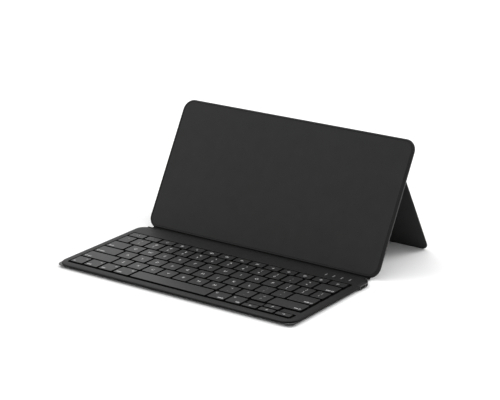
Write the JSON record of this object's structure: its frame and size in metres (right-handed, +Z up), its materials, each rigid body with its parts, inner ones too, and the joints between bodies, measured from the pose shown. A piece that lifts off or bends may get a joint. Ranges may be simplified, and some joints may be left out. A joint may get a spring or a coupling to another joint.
{
  "type": "tablet keyboard case",
  "caption": "Slim folding keyboard case for a tablet: a flat keyboard, a cover that leans back behind it and a full-width hinged kickstand.",
  "frame": {"origin": "on the table, under the middle of the opened case's box", "axes": "+X to the right along the keyboard's width, +Y from the front edge towards the cover, +Z up"},
  "size_m": [0.25, 0.2208, 0.1091],
  "materials": {
    "case_shell": "fine moulded texture",
    "deck_skin": "soft-touch matte",
    "key_plastic": "satin matte",
    "cover_skin": "fine matte coated fabric",
    "stand_skin": "fine matte coated fabric",
    "spine_fabric": "woven",
    "rubber": "matte",
    "steel": "brushed",
    "circuit": "solder mask",
    "film": "printed film",
    "battery_foil": "foil",
    "port_bezel": "satin",
    "light_guide": "milky"
  },
  "bodies": {
    "keyboard": {"lower_case": "case_shell", "deck_frame": "deck_skin", "key_support_plate": "steel", "membrane_circuit": "film", "dome_sheet": "rubber", "main_board": "circuit", "battery_cell": "battery_foil", "status_light_guide": "light_guide", "port_bezel": "port_bezel", "charging_port": "steel", "foot_front_left": "rubber", "foot_front_right": "rubber", "foot_rear_left": "rubber", "foot_rear_right": "rubber"},
    "power_slider": {"power_slider": "light_guide"},
    "fn_key": {"fn_key": "key_plastic"},
    "control_key": {"control_key": "key_plastic"},
    "option_left_key": {"option_left_key": "key_plastic"},
    "command_left_key": {"command_left_key": "key_plastic"},
    "space_bar": {"space_bar": "key_plastic"},
    "command_right_key": {"command_right_key": "key_plastic"},
    "option_right_key": {"option_right_key": "key_plastic"},
    "arrow_left_key": {"arrow_left_key": "key_plastic"},
    "arrow_up_key": {"arrow_up_key": "key_plastic"},
    "arrow_down_key": {"arrow_down_key": "key_plastic"},
    "arrow_right_key": {"arrow_right_key": "key_plastic"},
    "shift_left_key": {"shift_left_key": "key_plastic"},
    "shift_right_key": {"shift_right_key": "key_plastic"},
    "caps_lock_key": {"caps_lock_key": "key_plastic"},
    "return_key": {"return_key": "key_plastic"},
    "tab_key": {"tab_key": "key_plastic"},
    "backslash_key": {"backslash_key": "key_plastic"},
    "grave_key": {"grave_key": "key_plastic"},
    "delete_key": {"delete_key": "key_plastic"},
    "z_row_keys": {"z_row_keys": "key_plastic"},
    "a_row_keys": {"a_row_keys": "key_plastic"},
    "q_row_keys": {"q_row_keys": "key_plastic"},
    "number_keys": {"number_keys": "key_plastic"},
    "function_keys": {"function_keys": "key_plastic"},
    "spine": {"spine_strip": "spine_fabric"},
    "cover": {"cover_core": "cover_skin", "cover_liner": "cover_skin", "upper_back_panel": "stand_skin", "tablet_magnet_1": "steel", "tablet_magnet_2": "steel", "tablet_magnet_3": "steel", "tablet_magnet_4": "steel", "hinge_fixed_leaf_left": "steel", "hinge_fixed_leaf_right": "steel", "hinge_pin_left": "steel", "hinge_pin_right": "steel"},
    "kickstand": {"kickstand_plate": "stand_skin", "kickstand_skin": "stand_skin", "hinge_moving_leaf_left": "steel", "hinge_moving_leaf_right": "steel"}
  },
  "joints": [
    {"name": "spine_fold", "type": "hinge", "parent": "keyboard", "child": "spine", "pos_m": [0, 0.00911, 0.0043], "axis": [1, 0, 0], "range_deg": [0, 120]},
    {"name": "cover_recline", "type": "hinge", "parent": "spine", "child": "cover", "pos_m": [0, 0.01561, 0.00136], "axis": [1, 0, 0], "range_deg": [-60, 0]},
    {"name": "kickstand_hinge", "type": "hinge", "parent": "cover", "child": "kickstand", "pos_m": [0, 0.06577, 0.08025], "axis": [1, 0, 0], "range_deg": [-58.86, 50]},
    {"name": "power_slide", "type": "slide", "parent": "keyboard", "child": "power_slider", "axis": [0, 1, 0], "range_m": [0, 0.0015]},
    {"name": "fn_key_press", "type": "slide", "parent": "keyboard", "child": "fn_key", "axis": [0, 0, 1], "range_m": [-0.001, 0], "stiffness_N_per_m": 500},
    {"name": "control_key_press", "type": "slide", "parent": "keyboard", "child": "control_key", "axis": [0, 0, 1], "range_m": [-0.001, 0], "stiffness_N_per_m": 500},
    {"name": "option_left_key_press", "type": "slide", "parent": "keyboard", "child": "option_left_key", "axis": [0, 0, 1], "range_m": [-0.001, 0], "stiffness_N_per_m": 500},
    {"name": "command_left_key_press", "type": "slide", "parent": "keyboard", "child": "command_left_key", "axis": [0, 0, 1], "range_m": [-0.001, 0], "stiffness_N_per_m": 500},
    {"name": "space_bar_press", "type": "slide", "parent": "keyboard", "child": "space_bar", "axis": [0, 0, 1], "range_m": [-0.001, 0], "stiffness_N_per_m": 500},
    {"name": "command_right_key_press", "type": "slide", "parent": "keyboard", "child": "command_right_key", "axis": [0, 0, 1], "range_m": [-0.001, 0], "stiffness_N_per_m": 500},
    {"name": "option_right_key_press", "type": "slide", "parent": "keyboard", "child": "option_right_key", "axis": [0, 0, 1], "range_m": [-0.001, 0], "stiffness_N_per_m": 500},
    {"name": "arrow_left_key_press", "type": "slide", "parent": "keyboard", "child": "arrow_left_key", "axis": [0, 0, 1], "range_m": [-0.001, 0], "stiffness_N_per_m": 500},
    {"name": "arrow_up_key_press", "type": "slide", "parent": "keyboard", "child": "arrow_up_key", "axis": [0, 0, 1], "range_m": [-0.001, 0], "stiffness_N_per_m": 500},
    {"name": "arrow_down_key_press", "type": "slide", "parent": "keyboard", "child": "arrow_down_key", "axis": [0, 0, 1], "range_m": [-0.001, 0], "stiffness_N_per_m": 500},
    {"name": "arrow_right_key_press", "type": "slide", "parent": "keyboard", "child": "arrow_right_key", "axis": [0, 0, 1], "range_m": [-0.001, 0], "stiffness_N_per_m": 500},
    {"name": "shift_left_key_press", "type": "slide", "parent": "keyboard", "child": "shift_left_key", "axis": [0, 0, 1], "range_m": [-0.001, 0], "stiffness_N_per_m": 500},
    {"name": "shift_right_key_press", "type": "slide", "parent": "keyboard", "child": "shift_right_key", "axis": [0, 0, 1], "range_m": [-0.001, 0], "stiffness_N_per_m": 500},
    {"name": "caps_lock_key_press", "type": "slide", "parent": "keyboard", "child": "caps_lock_key", "axis": [0, 0, 1], "range_m": [-0.001, 0], "stiffness_N_per_m": 500},
    {"name": "return_key_press", "type": "slide", "parent": "keyboard", "child": "return_key", "axis": [0, 0, 1], "range_m": [-0.001, 0], "stiffness_N_per_m": 500},
    {"name": "tab_key_press", "type": "slide", "parent": "keyboard", "child": "tab_key", "axis": [0, 0, 1], "range_m": [-0.001, 0], "stiffness_N_per_m": 500},
    {"name": "backslash_key_press", "type": "slide", "parent": "keyboard", "child": "backslash_key", "axis": [0, 0, 1], "range_m": [-0.001, 0], "stiffness_N_per_m": 500},
    {"name": "grave_key_press", "type": "slide", "parent": "keyboard", "child": "grave_key", "axis": [0, 0, 1], "range_m": [-0.001, 0], "stiffness_N_per_m": 500},
    {"name": "delete_key_press", "type": "slide", "parent": "keyboard", "child": "delete_key", "axis": [0, 0, 1], "range_m": [-0.001, 0], "stiffness_N_per_m": 500},
    {"name": "z_row_keys_press", "type": "slide", "parent": "keyboard", "child": "z_row_keys", "axis": [0, 0, 1], "range_m": [-0.001, 0], "stiffness_N_per_m": 2000},
    {"name": "a_row_keys_press", "type": "slide", "parent": "keyboard", "child": "a_row_keys", "axis": [0, 0, 1], "range_m": [-0.001, 0], "stiffness_N_per_m": 2000},
    {"name": "q_row_keys_press", "type": "slide", "parent": "keyboard", "child": "q_row_keys", "axis": [0, 0, 1], "range_m": [-0.001, 0], "stiffness_N_per_m": 2000},
    {"name": "number_keys_press", "type": "slide", "parent": "keyboard", "child": "number_keys", "axis": [0, 0, 1], "range_m": [-0.001, 0], "stiffness_N_per_m": 2000},
    {"name": "function_keys_press", "type": "slide", "parent": "keyboard", "child": "function_keys", "axis": [0, 0, 1], "range_m": [-0.001, 0], "stiffness_N_per_m": 2000}
  ]
}
